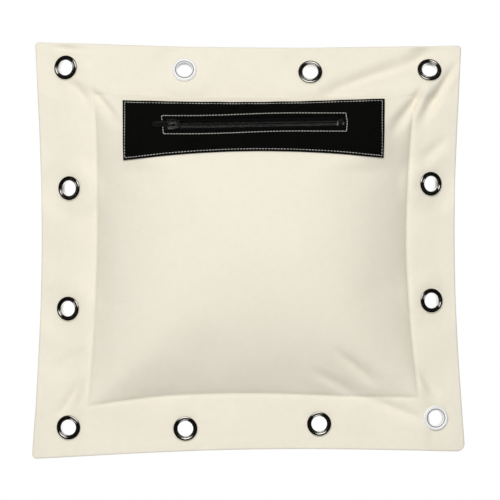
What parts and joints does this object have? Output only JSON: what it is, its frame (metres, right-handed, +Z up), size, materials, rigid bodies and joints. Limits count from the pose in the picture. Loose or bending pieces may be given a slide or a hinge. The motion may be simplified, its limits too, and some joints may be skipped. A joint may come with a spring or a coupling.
{
  "type": "wall punching bag",
  "caption": "Square canvas wall punching bag with a stuffed pillow, a flat flange with metal eyelets for hanging, and a zipped black patch for filling it.",
  "frame": {"origin": "middle of the chamber's flat back, on the surface of the wall", "axes": "+X to the right seen from the front, +Y into the wall, +Z up"},
  "size_m": [0.4081, 0.0647, 0.3929],
  "materials": {
    "canvas": "heavy plain-weave cotton canvas, cream, matte",
    "filling": "shredded textile, packed",
    "patch_cloth": "black plain-weave synthetic, matte",
    "zip_tape": "black woven zip tape",
    "zip_teeth": "black nylon teeth",
    "black_metal": "glossy black enamel on cast zinc",
    "eyelet_metal": "bright nickel plate",
    "grey_thread": "light grey polyester thread",
    "cream_thread": "cream polyester thread"
  },
  "bodies": {
    "bag": {"front_panel": "canvas", "back_panel": "canvas", "grommet_top_left": "eyelet_metal", "washer_top_left": "eyelet_metal", "grommet_bottom_left": "eyelet_metal", "washer_bottom_left": "eyelet_metal", "grommet_top_centre_left": "eyelet_metal", "washer_top_centre_left": "eyelet_metal", "grommet_bottom_centre_left": "eyelet_metal", "washer_bottom_centre_left": "eyelet_metal", "grommet_top_centre_right": "eyelet_metal", "washer_top_centre_right": "eyelet_metal", "grommet_bottom_centre_right": "eyelet_metal", "washer_bottom_centre_right": "eyelet_metal", "grommet_top_right": "eyelet_metal", "washer_top_right": "eyelet_metal", "grommet_bottom_right": "eyelet_metal", "washer_bottom_right": "eyelet_metal", "grommet_left_lower": "eyelet_metal", "washer_left_lower": "eyelet_metal", "grommet_right_lower": "eyelet_metal", "washer_right_lower": "eyelet_metal", "grommet_left_upper": "eyelet_metal", "washer_left_upper": "eyelet_metal", "grommet_right_upper": "eyelet_metal", "washer_right_upper": "eyelet_metal", "filling": "filling", "zip_patch": "patch_cloth", "zip_teeth_upper": "zip_teeth", "zip_teeth_lower": "zip_teeth", "zip_tape_upper": "zip_tape", "zip_tape_lower": "zip_tape", "zip_top_stop_upper": "black_metal", "zip_top_stop_lower": "black_metal", "zip_bottom_stop": "black_metal", "chamber_seam_thread": "cream_thread", "patch_seam_thread": "grey_thread", "zip_seam_thread": "grey_thread"},
    "slider": {"zip_slider": "black_metal"},
    "pull": {"zip_pull": "black_metal"}
  },
  "joints": [
    {"name": "zip_slide", "type": "slide", "parent": "bag", "child": "slider", "axis": [0.9998, 0.0106, 0.0181], "range_m": [0, 0.148], "deforming": ["zip_teeth_upper", "zip_teeth_lower"]},
    {"name": "pull_flip", "type": "hinge", "parent": "slider", "child": "pull", "pos_m": [-0.0701, -0.04612, 0.11857], "axis": [-0.0209, 0.5055, 0.8626], "range_deg": [0, 186]}
  ]
}
